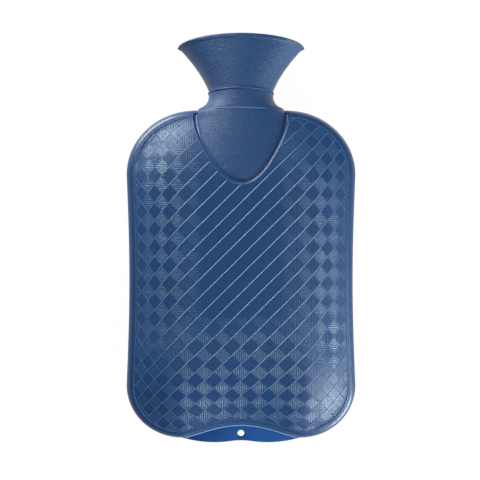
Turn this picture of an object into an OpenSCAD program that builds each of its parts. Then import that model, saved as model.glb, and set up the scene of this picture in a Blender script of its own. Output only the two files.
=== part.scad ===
// Hot water bottle of moulded thermoplastic, lying on its back with the neck towards +Y.
// The bag has a quilted pad on each face, a raised collar that runs up into the neck,
// a wide flattened filling funnel and a hanging tab. A screw stopper with a washer
// closes the threaded insert that is moulded into the neck.

/* [Overall] */
// Length from the hanging tab to the rim of the funnel
body_l = 340; // [320:1:360]
// Width across the bag
body_w = 194; // [184:1:206]
// Thickness over the pad ribs, front to back
body_t = 56; // [50:1:62]

/* [Bag] */
// Wall thickness of the bag
wall_t = 1.8; // [1.4:0.1:2.6]
// How far each long side is drawn in at mid length
waist_in = 2.3; // [0:0.1:5]
// Shoulder corner, its reach along the width
shoulder_rx = 58.5; // [48:0.5:66]
// Shoulder corner, its reach along the length
shoulder_ry = 54.5; // [46:0.5:62]
// Foot corner, its reach along the width
foot_rx = 47; // [40:0.5:54]
// Foot corner, its reach along the length
foot_ry = 44.5; // [38:0.5:52]
// Depth of the hollow in the middle of the foot
notch_d = 11; // [6:0.5:14]
// Width of the rolled edge outside the pad
roll_w = 6.7; // [5:0.1:9]
// Height of the pad border above the middle plane
edge_z = 12; // [9:0.5:16]
// Width of the slope from the side border up to the flat middle
slope_w = 45; // [36:1:54]
// Length of the slope from the end borders up to the flat middle
slope_l = 60; // [48:1:72]

/* [Quilted pads] */
// Height of the step at the pad border
pad_step = 1; // [0.6:0.1:1.6]
// Distance of the pad border from the rolled edge
pad_in = 0.5; // [0.2:0.1:2]
// Width of one diamond
diamond_w = 14.9; // [13:0.1:18]
// Length of one diamond
diamond_l = 14.67; // [13:0.01:18]
// Height of the ribs between the diamonds
rib_h = 0.55; // [0.4:0.05:0.8]
// Width of the ribs at their foot
rib_w = 1.5; // [1.2:0.1:2.4]
// Distance of a rib crossing on the middle line from the middle of the bottle
lattice_up = 2.9; // [-7:0.1:7]
// Width of the groove around the collar
groove_w = 3; // [2:0.1:4]
// Radius of the corners of the pad beside the collar
pad_corner = 2.5; // [1:0.5:5]

/* [Collar and neck] */
// Length of the collar from the shoulder down to its tip
collar_l = 62.6; // [54:0.1:70]
// Width of the collar at the shoulder
collar_w = 84.9; // [76:0.1:94]
// Height of the collar's tip over the bag skin
collar_rise = 1.2; // [0.8:0.1:2]
// Length of the neck from the shoulder to the stopper seat
neck_l = 15.5; // [14:0.5:18]
// Width of the neck
neck_w = 54.8; // [50:0.1:60]
// Thickness of the neck, front to back
neck_t = 50; // [46:0.5:54]
// Width of the fillet where the neck leaves the shoulder
fillet_w = 19; // [14:0.5:24]
// Length of the fillet where the neck leaves the shoulder
fillet_l = 9.5; // [8:0.5:11]
// Height of the bead around the neck
bead_h = 0.75; // [0.4:0.05:1.2]
// Distance of the bead below the stopper seat
bead_down = 2.2; // [1.5:0.1:4]

/* [Funnel] */
// Length of the funnel from the stopper seat to the middle of the rim
funnel_l = 42; // [36:0.5:50]
// Width of the funnel at the rim
rim_w = 107; // [94:0.5:114]
// Thickness of the funnel at the rim, front to back
rim_t = 55; // [50:0.5:56]
// Spread of the funnel's side at the neck, per unit of length
flare = 0.38; // [0.2:0.01:0.6]
// Rise of the rim from its two corners to its middle
rim_crown = 5; // [2:0.5:8]
// How pointed the funnel's two side corners are at the rim, 1 is a plain oval
rim_point = 1.14; // [1:0.02:1.3]
// Wall thickness of the funnel
funnel_wall = 3; // [2.4:0.1:3.6]
// Depth of the rounding along the lip
lip_round = 1.4; // [0.8:0.1:1.8]

/* [Hanging tab] */
// Thickness of the tab
tab_t = 3.5; // [2.5:0.1:5]
// Width of the tab
tab_w = 114; // [96:1:120]
// How far the tab's two lobes reach below the foot of the bag
tab_drop = 4.5; // [3:0.1:7]
// Radius of the tab's two lobes
lobe_r = 97; // [84:1:120]
// Distance between the centres of the two lobes
lobe_gap = 45; // [36:1:52]
// Radius of the soft hollow between the two lobes
lobe_blend = 60; // [30:1:90]
// Diameter of the hanging hole
hole_d = 6; // [4:0.1:7]
// Distance from the tab's lowest line up to the centre of the hole
hole_up = 7.7; // [6.5:0.1:9]

/* [Thread insert] */
// Length of the insert below the stopper seat
insert_l = 20; // [18:0.5:22]
// Diameter of the threaded bore
bore_d = 27.2; // [26:0.1:28.4]
// Outer diameter of the insert
insert_d = 36; // [34:0.5:37]
// Diameter of the two retaining flanges
flange_d = 40; // [38.5:0.5:41]
// Thickness of each retaining flange
flange_t = 2.5; // [1.5:0.1:3]
// Distance from each end of the insert to the nearer flange
flange_in = 2; // [1:0.1:4]
// Depth of the chamfer at each end of the bore
bore_chamfer = 1; // [0.4:0.1:1.4]
// Clearance between the insert and the neck around it
insert_fit = 0.05; // [0.02:0.01:0.15]
// Length of the throat in the neck below the insert
throat_l = 4; // [3:0.5:6]
// Thickness of neck material around the retaining flanges
core_wall = 3; // [2:0.1:4]

/* [Stopper] */
// Diameter of the stopper's plug without its thread
plug_d = 24; // [23:0.1:24.6]
// Length of the plug below its sealing flange
plug_l = 17; // [14:0.5:19]
// Depth of the chamfer on the plug's tip
plug_chamfer = 1.5; // [0.5:0.1:2.5]
// Diameter of the hollow in the plug
core_d = 17; // [12:0.5:19]
// Depth of the hollow in the plug
core_l = 14; // [8:0.5:18]
// Diameter of the sealing flange
seal_d = 35; // [32:0.5:38]
// Thickness of the sealing flange
seal_t = 3.5; // [2.5:0.1:5]
// Width of the grip across its wings
grip_w = 40; // [32:0.5:44]
// Thickness of the grip
grip_t = 9; // [7:0.5:12]
// Length of the grip above the sealing flange
grip_l = 24.5; // [18:0.5:28]
// Radius of the grip's two wing tips
wing_r = 7; // [5:0.5:9]
// Width of the grip's waist
grip_waist = 24; // [18:0.5:28]
// Rounding along the edges of the grip
grip_round = 2.5; // [1:0.1:3.4]

/* [Washer] */
// Thickness of the washer
washer_t = 2; // [1.5:0.1:3]
// Outer diameter of the washer
washer_d = 34; // [31:0.5:36]
// Clearance between the washer and the plug, on the radius
washer_fit = 0.3; // [0.2:0.05:0.6]
// Rounding along the washer's edges
washer_round = 0.4; // [0.2:0.05:0.6]

/* [Hidden] */

bottle_blue = [0.17, 0.29, 0.47];
insert_grey = [0.55, 0.57, 0.6];
stopper_blue = [0.12, 0.21, 0.38];
washer_grey = [0.2, 0.2, 0.22];

eps = 0.01;
slope_power = 2.2;
notch_fullness = 0.6;
arc_steps = 8;
inner_steps = 4;
neck_sides = 36;
overrun = 6;
pilot_under = 3;

// Shares and angles at which the bag's and the neck's rings lie
bag_slopes = [1, 0.66, 0.36, 0.14];
bag_turns = [90, 58, 28];
cavity_slopes = [1, 0.52, 0.2];
cavity_turns = [90, 45];
collar_shares = [0.01, 0.05, 0.14, 0.28, 0.46, 0.66, 0.84, 0.99];
throat_shares = [0.14, 0.4, 0.7, 0.86, 1];
fillet_turns = [25, 44, 66, 90];
bead_turns = [0, 60, 120, 180];
funnel_shares = [0:0.2:0.8];
lip_share = 0.3;

// The diamonds get smaller towards the borders, from these distances on
side_free = 40;
side_squeeze = 288;
top_free = 55;
foot_free = -71;
end_squeeze = 952;
flat_drop = 0.3;

// Places along the length, all measured from the middle of the bottle
rim_y = body_l / 2;
seat_y = rim_y - funnel_l;
shoulder_y = seat_y - neck_l;
tab_low_y = -body_l / 2;
foot_y = tab_low_y + tab_drop;
bag_cy = (foot_y + shoulder_y) / 2;
collar_tip_y = shoulder_y - collar_l;
fillet_end_y = shoulder_y + fillet_l - eps;
insert_low_y = seat_y - insert_l;
throat_low_y = insert_low_y - throat_l;

// Centres of the corner arcs
shoulder_cx = body_w / 2 - shoulder_rx;
shoulder_cy = shoulder_y - shoulder_ry;
foot_cx = body_w / 2 - foot_rx;
foot_cy = foot_y + foot_ry;

// Lattice lines in each direction, enough to cover the pad
lattice_hi = ceil(body_w / diamond_w / 2 + shoulder_y / diamond_l + 1);
lattice_lo = floor(foot_y / diamond_l - body_w / diamond_w / 2);
rib_share = rib_w * norm([diamond_w, diamond_l]) / diamond_w / diamond_l / 2;

// Heights above the middle plane
pad_z = body_t / 2 - rib_h;
skin_edge_z = edge_z - pad_step;
wall_drop = wall_t * 1.15;

// Bag outline

function half_w(y, d) =
    y > shoulder_cy ? shoulder_cx + (shoulder_rx - d) * arc_part((y - shoulder_cy) / (shoulder_ry - d)) :
    y < foot_cy ? foot_cx + (foot_rx - d) * arc_part((foot_cy - y) / (foot_ry - d)) :
    body_w / 2 - d - waist_in * sin(180 * (y - foot_cy) / (shoulder_cy - foot_cy));

function arc_part(t) = sqrt(max(0, 1 - t * t));

function top_y(x, d) =
    abs(x) < shoulder_cx ? shoulder_y - d :
    shoulder_cy + (shoulder_ry - d) * arc_part((abs(x) - shoulder_cx) / (shoulder_rx - d));

function notch(x) = notch_d * pow((1 + cos(180 * abs(x) / foot_cx)) / 2, notch_fullness);

function bottom_y(x, d) =
    abs(x) < foot_cx ? foot_y + d + notch(x) :
    foot_cy - (foot_ry - d) * arc_part((abs(x) - foot_cx) / (foot_rx - d));

function half_outline(d, steps) = concat(
    [for (i = [0:steps - 1]) let (x = foot_cx * i / steps) [x, bottom_y(x, d)]],
    [for (i = [0:steps]) let (a = -90 + 90 * i / steps)
        [foot_cx + (foot_rx - d) * cos(a), foot_cy + (foot_ry - d) * sin(a)]],
    [for (i = [1:steps - 1]) let (y = foot_cy + (shoulder_cy - foot_cy) * i / steps)
        [half_w(y, d), y]],
    [for (i = [0:steps + 2]) let (a = 90 * i / (steps + 2))
        [shoulder_cx + (shoulder_rx - d) * cos(a), shoulder_cy + (shoulder_ry - d) * sin(a)]],
    [for (i = [1:2]) [shoulder_cx * (3 - i) / 3, shoulder_y - d]]);

function outline(d, steps = arc_steps) =
    let (right = half_outline(d, steps), n = len(right))
    concat(
        right,
        [[0, shoulder_y - d]],
        [for (i = [n - 1:-1:1]) [-right[i][0], right[i][1]]]);

// Bag surface

function rise(t) = 1 - pow(1 - min(1, max(0, t)), slope_power);

function pad_height(x, y) =
    edge_z + (pad_z - edge_z)
        * rise((half_w(y, roll_w) - abs(x)) / slope_w)
        * rise((top_y(x, roll_w) - y) / slope_l)
        * rise((y - bottom_y(x, roll_w)) / slope_l);

function skin_height(x, y) =
    let (inside = shoulder_y - y)
    inside < roll_w ? skin_edge_z * arc_part(1 - max(0, inside) / roll_w) :
    pad_height(x, y) - pad_step;

function slope_ring(inset, drop, s, steps) =
    let (
        kx = 1 - s * slope_w / (body_w / 2 - roll_w),
        ky = 1 - s * slope_l / ((shoulder_y - foot_y) / 2 - roll_w))
    [for (p = outline(roll_w + inset, steps))
        let (x = p[0] * kx, y = bag_cy + (p[1] - bag_cy) * ky)
        [x, y, pad_height(x, y) - drop]];

function roll_ring(inset, drop, a, steps) =
    let (
        border = outline(roll_w + inset, steps),
        ring = outline(inset + roll_w * (1 - cos(a)), steps))
    [for (i = [0:len(ring) - 1])
        [ring[i][0], ring[i][1], (pad_height(border[i][0], border[i][1]) - drop) * sin(a)]];

function mirror_ring(ring) = [for (p = ring) [p[0], p[1], -p[2]]];

// A closed cushion shape: rings from the front's middle over the rolled edge to the back's
module cushion(inset, drop, slopes, turns, steps) {
    front = concat(
        [for (s = slopes) slope_ring(inset, drop, s, steps)],
        [for (a = turns) roll_ring(inset, drop, a, steps)]);
    rings = concat(
        front,
        [roll_ring(inset, drop, 0, steps)],
        [for (i = [len(front) - 1:-1:0]) mirror_ring(front[i])]);
    top = pad_height(0, bag_cy) - drop;
    n = len(rings[0]);
    m = len(rings);
    polyhedron(
        points = concat(
            [for (ring = rings) each ring],
            [[0, bag_cy, top], [0, bag_cy, -top]]),
        faces = concat(
            ring_faces(n, m),
            [for (j = [0:n - 1]) [n * m, (j + 1) % n, j]],
            [for (j = [0:n - 1]) [n * m + 1, n * (m - 1) + j, n * (m - 1) + (j + 1) % n]]));
}

function ring_faces(n, m) = [
    for (i = [0:m - 2], j = [0:n - 1])
        let (a = i * n + j, b = i * n + (j + 1) % n)
        each [[a, b, b + n], [a, b + n, a + n]]
];

// Tubular forms along the length, from oval rings

function oval_ring(y, a, b, crown = 0, point = 1) = [
    for (i = [0:neck_sides - 1])
        let (t = 360 * i / neck_sides, up = pow(abs(sin(t)), point))
        [a * cos(t), y + crown * up, b * sign(sin(t)) * up]
];

// Strips that join points with the same x close an oval ring, flat or crowned
function cap_faces(o, n, flip) = [
    for (k = [0:n / 2 - 1])
        each [
            for (f = [[k, k + 1, n - k - 1], [k, n - k - 1, (n - k) % n]])
                if (f[0] != f[2] && f[1] != f[2])
                    flip ? [o + f[0], o + f[2], o + f[1]] : [o + f[0], o + f[1], o + f[2]]
        ]
];

module oval_loft(rings) {
    n = len(rings[0]);
    m = len(rings);
    polyhedron(
        points = [for (ring = rings) each ring],
        faces = concat(
            ring_faces(n, m),
            cap_faces(0, n, true),
            cap_faces(n * (m - 1), n, false)));
}

// Collar, neck and funnel

function collar_x(y) = collar_w / 2 * sqrt((y - collar_tip_y) / collar_l);

function collar_b(y) =
    let (t = (y - collar_tip_y) / collar_l, tip_z = pad_z - pad_step)
    tip_z + collar_rise * rise(8 * t) - (tip_z + collar_rise - neck_t / 2) * t;

function collar_ring(y) =
    let (x = collar_x(y), b = collar_b(y), h = min(b - 0.05, skin_height(x, y)))
    oval_ring(y, x / sqrt(1 - pow(h / b, 2)), b);

function fillet_ring(t) =
    oval_ring(
        fillet_end_y - fillet_l * cos(t),
        neck_w / 2 + fillet_w * (1 - sin(t)),
        neck_t / 2);

function bead_ring(t) =
    oval_ring(
        seat_y - bead_down - bead_h * cos(t),
        neck_w / 2 + bead_h * sin(t),
        neck_t / 2 + bead_h * sin(t));

// Half width of the funnel at a share t of its height; inset moves it inwards
function funnel_a(t, inset) =
    let (u = (funnel_l - rim_crown) * t)
    neck_w / 2 + flare * u
        + ((rim_w - neck_w) / 2 - flare * (funnel_l - rim_crown)) * t * t
        - inset;

function funnel_b(t, inset) = neck_t / 2 + (rim_t - neck_t) / 2 * t - inset;

function funnel_ring(t, inset, down = 0) =
    oval_ring(
        seat_y + (funnel_l - rim_crown) * t - down,
        funnel_a(t, inset),
        funnel_b(t, inset),
        rim_crown * t * t,
        1 + (rim_point - 1) * t);

module neck_outside() {
    oval_loft(concat(
        [for (t = collar_shares) collar_ring(collar_tip_y + collar_l * t)],
        [for (t = fillet_turns) fillet_ring(t)],
        [for (t = bead_turns) bead_ring(t)],
        [for (t = funnel_shares) funnel_ring(t, 0)],
        [funnel_ring(1, 0, lip_round)],
        [funnel_ring(1, lip_round * lip_share, lip_round * lip_share)],
        [funnel_ring(1, lip_round)]));
}

module funnel_inside() {
    oval_loft(concat(
        [for (t = funnel_shares) funnel_ring(t, funnel_wall)],
        [funnel_ring(1, funnel_wall, lip_round)],
        [funnel_ring(1, funnel_wall - lip_round * lip_share, lip_round * lip_share)],
        [funnel_ring(1, funnel_wall - lip_round)],
        [funnel_ring(1, funnel_wall - lip_round, -overrun)]));
}

module neck_inside() {
    oval_loft([
        for (t = throat_shares)
            let (
                y = collar_tip_y + collar_l * t,
                x = collar_x(y),
                b = collar_b(y) - wall_drop,
                h = min(b - 0.5, max(0, skin_height(x, y) - wall_drop)))
            oval_ring(y, (x - wall_t) / sqrt(1 - pow(h / b, 2)), b)
    ]);
}

// Quilted pad on the diamond lattice: u and v count the two directions of its ribs

function squeeze(s, free, length) =
    let (over = max(0, abs(s) - free))
    s - sign(s) * over * over / (length + over);

function lattice_x(u, v) = squeeze((v - u) * diamond_w / 2, side_free, side_squeeze);

function lattice_y(u, v) =
    let (y = lattice_up + (u + v) * diamond_l / 2)
    y > top_free ? y - pow(y - top_free, 2) / end_squeeze :
    y < foot_free ? y + pow(y - foot_free, 2) / end_squeeze : y;

function lattice_point(u, v, lift) =
    let (x = lattice_x(u, v), y = lattice_y(u, v))
    [x, y, pad_height(x, y) + lift];

// Where the middle of the pad is as good as flat, along a strip between two ribs
function is_flat(u, v) =
    let (x = lattice_x(u, v), y = lattice_y(u, v))
    pad_height(x, y) >= pad_z - flat_drop;

function flat_run(i) =
    let (cells = [
        for (j = [lattice_lo:lattice_hi - 1])
            if (is_flat(i, j) && is_flat(i + 1, j) && is_flat(i, j + 1) && is_flat(i + 1, j + 1)) j])
    len(cells) > 1 ? [cells[0], cells[len(cells) - 1] + 1] : [0, 0];

function in_run(run, j) = run[0] < j && j < run[1];

// Faces between two lines of the lattice: quads, and one long polygon over the flat run
function strip_faces(runs, q, n) =
    let (run = runs[q])
    concat(
        [for (j = [lattice_lo:lattice_hi - 1])
            if (j < run[0] || j >= run[1])
                let (a = q * n + j - lattice_lo)
                each [[a, a + n, a + n + 1], [a, a + n + 1, a + 1]]],
        run[1] > run[0] ? [concat(
            [for (j = [run[0]:run[1]]) if (kept(runs, q + 1, j)) (q + 1) * n + j - lattice_lo],
            [for (j = [run[1]:-1:run[0]]) if (kept(runs, q, j)) q * n + j - lattice_lo])] : []);

function kept(runs, q, j) = !in_run(runs[q - 1], j) || !in_run(runs[q], j);

// A solid block whose top carries ribs that all lean one way, flat between them
module ribbed_field() {
    n = lattice_hi - lattice_lo + 1;
    lines = [for (i = [lattice_lo:lattice_hi], k = [-1:1]) [i + k * rib_share, k == 0 ? rib_h : 0]];
    m = len(lines);
    runs = [for (q = [0:m]) flat_run(lattice_lo - 1 + floor((q + 2) / 3))];
    top = [for (l = lines, j = [lattice_lo:lattice_hi]) lattice_point(l[0], j, l[1])];
    rim = concat(
        [for (q = [0:m - 2]) q * n],
        [for (j = [0:n - 2]) (m - 1) * n + j],
        [for (q = [m - 1:-1:1]) q * n + n - 1],
        [for (j = [n - 1:-1:1]) j]);
    base = n * m;
    polyhedron(
        points = concat(top, [for (k = rim) [top[k][0], top[k][1], 0]]),
        faces = concat(
            [for (q = [0:m - 2]) each strip_faces(runs, q, n)],
            [for (k = [0:len(rim) - 1])
                let (l = (k + 1) % len(rim))
                each [[base + k, base + l, rim[l]], [base + k, rim[l], rim[k]]]],
            [[for (k = [len(rim) - 1:-1:0]) base + k]]));
}

module collar_zone() {
    polygon(concat(
        [for (t = [-1.12:0.16:1.12]) [collar_w / 2 * t, collar_tip_y + collar_l * t * t]],
        [[collar_w, shoulder_y + overrun], [-collar_w, shoulder_y + overrun]]));
}

module pad_area() {
    offset(r = pad_corner, $fn = 16) offset(delta = -pad_corner) difference() {
        polygon(outline(roll_w + pad_in));
        offset(r = groove_w, $fn = 16) collar_zone();
    }
}

module pad() {
    intersection() {
        ribbed_field();
        linear_extrude(body_t) pad_area();
    }
}

// Hanging tab

module tab() {
    linear_extrude(tab_t, center = true) intersection() {
        offset(r = -lobe_blend, $fn = 180) offset(r = lobe_blend, $fn = 180)
            for (side = [-1, 1])
                translate([side * lobe_gap / 2, tab_low_y + lobe_r]) circle(lobe_r, $fn = 180);
        translate([-tab_w / 2, tab_low_y - overrun]) square([tab_w, 4 * hole_up]);
    }
}

// Pieces

module along_y(y) {
    translate([0, y, body_t / 2]) rotate([-90, 0, 0]) children();
}

module bag_solid() {
    difference() {
        union() {
            cushion(0, pad_step, bag_slopes, bag_turns, arc_steps);
            pad();
            rotate([0, 180, 0]) pad();
            neck_outside();
            tab();
        }
        difference() {
            union() {
                cushion(wall_t, pad_step + wall_drop, cavity_slopes, cavity_turns, inner_steps);
                neck_inside();
            }
            translate([0, throat_low_y, 0]) rotate([-90, 0, 0])
                cylinder(h = throat_l + insert_l, d = flange_d + 2 * core_wall, $fn = 40);
        }
        funnel_inside();
        translate([0, throat_low_y - overrun, 0]) rotate([-90, 0, 0])
            cylinder(h = throat_l + insert_l + 2 * overrun, d = bore_d - pilot_under, $fn = 12);
    }
}

module bottle_body() {
    color(bottle_blue) difference() {
        translate([0, 0, body_t / 2]) resize([0, 0, body_t]) bag_solid();
        translate([0, tab_low_y + hole_up, body_t / 2])
            cylinder(h = 4 * tab_t, d = hole_d, center = true, $fn = 64);
        along_y(throat_low_y - overrun)
            cylinder(h = throat_l + 2 * overrun, d = bore_d, $fn = 96);
        along_y(insert_low_y) insert_solid(insert_fit, 0);
    }
}

// The insert as a turned shape; grow widens it into the pocket it fills
module insert_solid(grow, bore) {
    reach = grow > 0 ? overrun : 0;
    rotate_extrude($fn = 96) polygon(concat(
        [[bore / 2 + (bore > 0 ? bore_chamfer : 0), -grow], [insert_d / 2 + grow, -grow]],
        flange_points(flange_in, grow),
        flange_points(insert_l - flange_in - flange_t, grow),
        [[insert_d / 2 + grow, insert_l + reach]],
        [[bore / 2 + (bore > 0 ? bore_chamfer : 0), insert_l + reach]],
        bore > 0 ? [[bore / 2, insert_l - bore_chamfer], [bore / 2, bore_chamfer]] : []));
}

function flange_points(z, grow) = [
    [insert_d / 2 + grow, z - grow],
    [flange_d / 2 + grow, z - grow],
    [flange_d / 2 + grow, z + flange_t + grow],
    [insert_d / 2 + grow, z + flange_t + grow]
];

module thread_insert() {
    color(insert_grey) along_y(insert_low_y) insert_solid(0, bore_d);
}

module stopper_washer() {
    inner = plug_d / 2 + washer_fit;
    outer = washer_d / 2;
    e = washer_round;
    color(washer_grey) along_y(seat_y) rotate_extrude($fn = 96) polygon([
        [inner + e, 0], [outer - e, 0], [outer, e], [outer, washer_t - e],
        [outer - e, washer_t], [inner + e, washer_t], [inner, washer_t - e], [inner, e]
    ]);
}

// A round disc with eased edges, used for the grip
module soft_disc(r, t, e) {
    rotate_extrude($fn = 32) polygon(concat(
        [[0, -t / 2]],
        [for (a = [-90:30:0]) [r - e + e * cos(a), -t / 2 + e + e * sin(a)]],
        [for (a = [0:30:90]) [r - e + e * cos(a), t / 2 - e + e * sin(a)]],
        [[0, t / 2]]));
}

module grip() {
    wing_x = grip_w / 2 - wing_r;
    wing_y = grip_l - wing_r;
    hull() {
        for (side = [-1, 1])
            translate([side * wing_x, wing_y, 0]) soft_disc(wing_r, grip_t, grip_round);
    }
    hull() {
        translate([0, wing_y - 1, 0]) soft_disc(wing_r, grip_t, grip_round);
        for (side = [-1, 1])
            translate([side * (grip_waist / 2 - grip_round), grip_round, 0])
                soft_disc(grip_round, grip_t, grip_round * 0.9);
    }
}

module stopper() {
    flange_low = seat_y + washer_t;
    color(stopper_blue) {
        along_y(flange_low) difference() {
            rotate_extrude($fn = 96) polygon([
                [0, -plug_l], [plug_d / 2 - plug_chamfer, -plug_l],
                [plug_d / 2, plug_chamfer - plug_l], [plug_d / 2, 0],
                [seal_d / 2, 0], [seal_d / 2, seal_t * 0.6],
                [seal_d / 2 - seal_t * 0.4, seal_t], [0, seal_t]
            ]);
            translate([0, 0, -plug_l - eps]) cylinder(h = core_l, d = core_d, $fn = 64);
        }
        translate([0, flange_low + seal_t - grip_round * 0.5, body_t / 2]) grip();
    }
}

bottle_body();
thread_insert();
stopper();
stopper_washer();
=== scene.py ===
import math
from contextlib import contextmanager
from itertools import product

import bmesh
import bpy
import numpy as np
from mathutils import Matrix, Vector


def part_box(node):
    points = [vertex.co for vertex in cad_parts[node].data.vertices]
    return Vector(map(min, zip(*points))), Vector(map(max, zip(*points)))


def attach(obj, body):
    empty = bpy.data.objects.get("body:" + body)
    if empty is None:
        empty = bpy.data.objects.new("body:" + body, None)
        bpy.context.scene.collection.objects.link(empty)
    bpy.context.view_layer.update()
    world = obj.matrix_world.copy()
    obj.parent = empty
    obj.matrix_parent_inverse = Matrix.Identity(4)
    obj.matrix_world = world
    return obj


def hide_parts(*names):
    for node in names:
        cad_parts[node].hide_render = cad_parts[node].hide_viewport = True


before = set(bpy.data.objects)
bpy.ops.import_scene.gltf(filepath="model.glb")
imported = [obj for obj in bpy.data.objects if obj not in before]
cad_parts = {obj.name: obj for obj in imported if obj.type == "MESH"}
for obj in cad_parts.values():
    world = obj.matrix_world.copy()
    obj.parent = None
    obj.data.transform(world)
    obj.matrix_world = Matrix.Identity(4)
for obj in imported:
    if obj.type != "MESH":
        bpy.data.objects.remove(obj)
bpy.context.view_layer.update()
print("stage 1: frame loaded,", len(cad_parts), "nodes")

# All lengths are metres. The bottle lies on its back, neck towards +Y, and midZ is the
# plane that halves its thickness: shapes are worked out above and below that plane.
bodyLow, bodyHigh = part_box("bottle_body")
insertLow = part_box("thread_insert")[0]
midZ = (bodyLow.z + bodyHigh.z) / 2
halfThick = (bodyHigh.z - bodyLow.z) / 2

bag = {
    "width": bodyHigh.x - bodyLow.x,
    "waistIn": 0.0023,  # each long side is drawn in this far at mid length
    "shoulderX": 0.0585,  # reach of the corner arcs across and along the bag
    "shoulderY": 0.0545,
    "footX": 0.047,
    "footY": 0.0445,
    "tabDrop": 0.0045,  # how far the tab reaches below the foot
    "notchDepth": 0.011,  # hollow in the middle of the foot
    "notchFullness": 0.6,
    "rollWidth": 0.0067,  # rolled edge outside the pad
    "edgeHeight": 0.012,  # of the pad's border over the middle plane
    "slopeWidth": 0.045,  # from the border up to the flat middle
    "slopeLength": 0.060,
    "slopePower": 2.2,
    "wall": 0.0018,
    "drop": 1.15,  # depth of the wall under a slope, in walls
    "outsideSteps": 40,
    "insideSteps": 12,
    "sharpFrom": 32,  # degrees
}
pad = {
    "step": 0.001,  # the pad stands this far over the bag's skin
    "inFromRoll": 0.0005,
    "ribHeight": 0.00055,
    "ribHalf": 0.00038,  # half a rib's width at its foot
    "crest": 0.00031,  # height of a rib
    "crossCrest": 0.6,  # height of the ribs that lean the other way, as a share
    "grooveDepth": 0.000115,
    "groovePlain": 0.3,  # share of that depth outside the bands
    "groovesPerTile": 9,
    "samples": 9,
    "ribSkip": 3,
    "fade": 0.0007,
    "diamondWidth": 0.0149,
    "diamondLength": 0.01467,
    "latticeUp": 0.0029,
    "sideFree": 0.040,  # beyond these distances the diamonds get smaller
    "sideSqueeze": 0.288,
    "topFree": 0.055,
    "footFree": -0.071,
    "endSqueeze": 0.952,
    "cornerRadius": 0.0025,
    "sunk": 0.0004,  # the pad's underside lies this deep in the bag's wall
    "beadRadius": 0.0005,
    "beadIn": 0.0004,
    "beadDown": 0.0001,
    # the border bead takes this share of the highlight painted on the ribs
    "beadHighlightShare": 0.55,  # how much of the ribs' tone the border has
    "weld": 0.0005,
    "room": 0.004,  # height of the cutter over the pad
    "borderGap": 0.0004,  # between the collar's end of the outline and the border's
    "sharpTurn": 30,  # degrees
    "sharpFrom": 9,
}
neck = {
    "funnelLength": 0.042,
    "neckLength": 0.0165,
    "collarLength": 0.0606,  # from the shoulder down to the collar's tip
    "collarWidth": 0.0849,
    "collarNarrow": 0.0008,
    "collarSteep": 0.035,  # draws the collar's sides in below the shoulder
    "collarSteepFrom": 0.6,
    "collarRise": 0.0012,
    "least": 0.00005,  # least height of the collar over the skin beside it
    "groove": 0.0034,  # between the collar and the pad
    "width": 0.0548,
    "thick": 0.050,
    "filletWidth": 0.014,
    "filletLength": 0.0115,
    "filletFrom": 22,  # degrees
    "beadHeight": 0.00075,
    "beadDown": 0.0022,
    "creaseDown": 0.0018,  # the crease lies this far below the shoulder
    "creaseHalf": 0.0006,
    "creaseHeight": 0.0005,
    "creaseReach": 0.022,
    "creaseFade": 0.004,
    "creaseRoom": 0.0011,
    "rimWidth": 0.107,
    "rimThick": 0.055,
    "rimPoint": 0.14,  # how pointed the rim's two side corners are
    "flare": 0.42,
    "crown": 0.005,  # the rim's middle stands this far over its corners
    "wall": 0.003,
    "lip": 0.0014,
    "lipBand": 0.0032,
    "lipBandHeight": 0.0003,
    "lipBandEdge": 0.012,
    "overrun": 0.006,  # how far the cutters go past the openings
    "sides": 192,
}

rimY = bodyHigh.y
seatY = rimY - neck["funnelLength"]
shoulderY = seatY - neck["neckLength"]
footY = bodyLow.y + bag["tabDrop"]
bagMidY = (footY + shoulderY) / 2
collarTipY = shoulderY - neck["collarLength"]
shoulderCx = bag["width"] / 2 - bag["shoulderX"]
shoulderCy = shoulderY - bag["shoulderY"]
footCx = bag["width"] / 2 - bag["footX"]
footCy = footY + bag["footY"]
padTop = halfThick - pad["ribHeight"]


# Camera: straight above the lying bottle, as the photograph looks on its face
view = {"height": 0.590, "x": -0.00085, "y": 0.0017, "halfFrame": 0.204, "sensor": 36.0}


def addObject(name, data):
    thing = bpy.data.objects.new(name, data)
    bpy.context.collection.objects.link(thing)
    return thing


def makeCamera():
    data = bpy.data.cameras.new("camera")
    data.sensor_width = view["sensor"]
    data.lens = view["sensor"] / 2 * view["height"] / view["halfFrame"]
    data.clip_start = 0.01
    camera = addObject("camera", data)
    camera.location = (view["x"], view["y"], midZ + view["height"])
    bpy.context.scene.camera = camera


makeCamera()


# Mesh helpers

def makePiece(name, verts, faces, edges=()):
    mesh = bpy.data.meshes.new(name)
    mesh.from_pydata([tuple(v) for v in verts], edges, [tuple(f) for f in faces])
    mesh.update()
    return addObject(name, mesh)


def lift(points):
    out = np.array(points, float)
    out[:, 2] += midZ
    return out


def fullTurn(sides):
    return np.arange(sides) * 2 * np.pi / sides


def loft(name, rings, startPole=None, endPole=None):
    # Rings have the same number of points; a pole closes an end, or else strips across it
    rings = np.array(rings, float)
    m, n, _ = rings.shape
    verts = [tuple(p) for p in rings.reshape(-1, 3)]
    i, j = np.meshgrid(np.arange(m - 1), np.arange(n), indexing="ij")
    a = (i * n + j).ravel()
    b = (i * n + (j + 1) % n).ravel()
    faces = np.stack([a, b, b + n, a + n], 1).tolist()
    for pole, start in ((startPole, 0), (endPole, n * (m - 1))):
        flip = start == 0
        if pole is not None:
            verts.append(tuple(pole))
            p = len(verts) - 1
            fan = [(p, start + (k + 1) % n, start + k) for k in range(n)]
        else:
            fan = []
            for k in range(n // 2):
                quad = [start + k, start + k + 1, start + n - k - 1, start + (n - k) % n]
                ids = list(dict.fromkeys(quad))
                fan.append(tuple(ids[::-1]))
        faces += fan if flip else [f[::-1] for f in fan]
    return pointOut(makePiece(name, lift(verts), faces))


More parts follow.
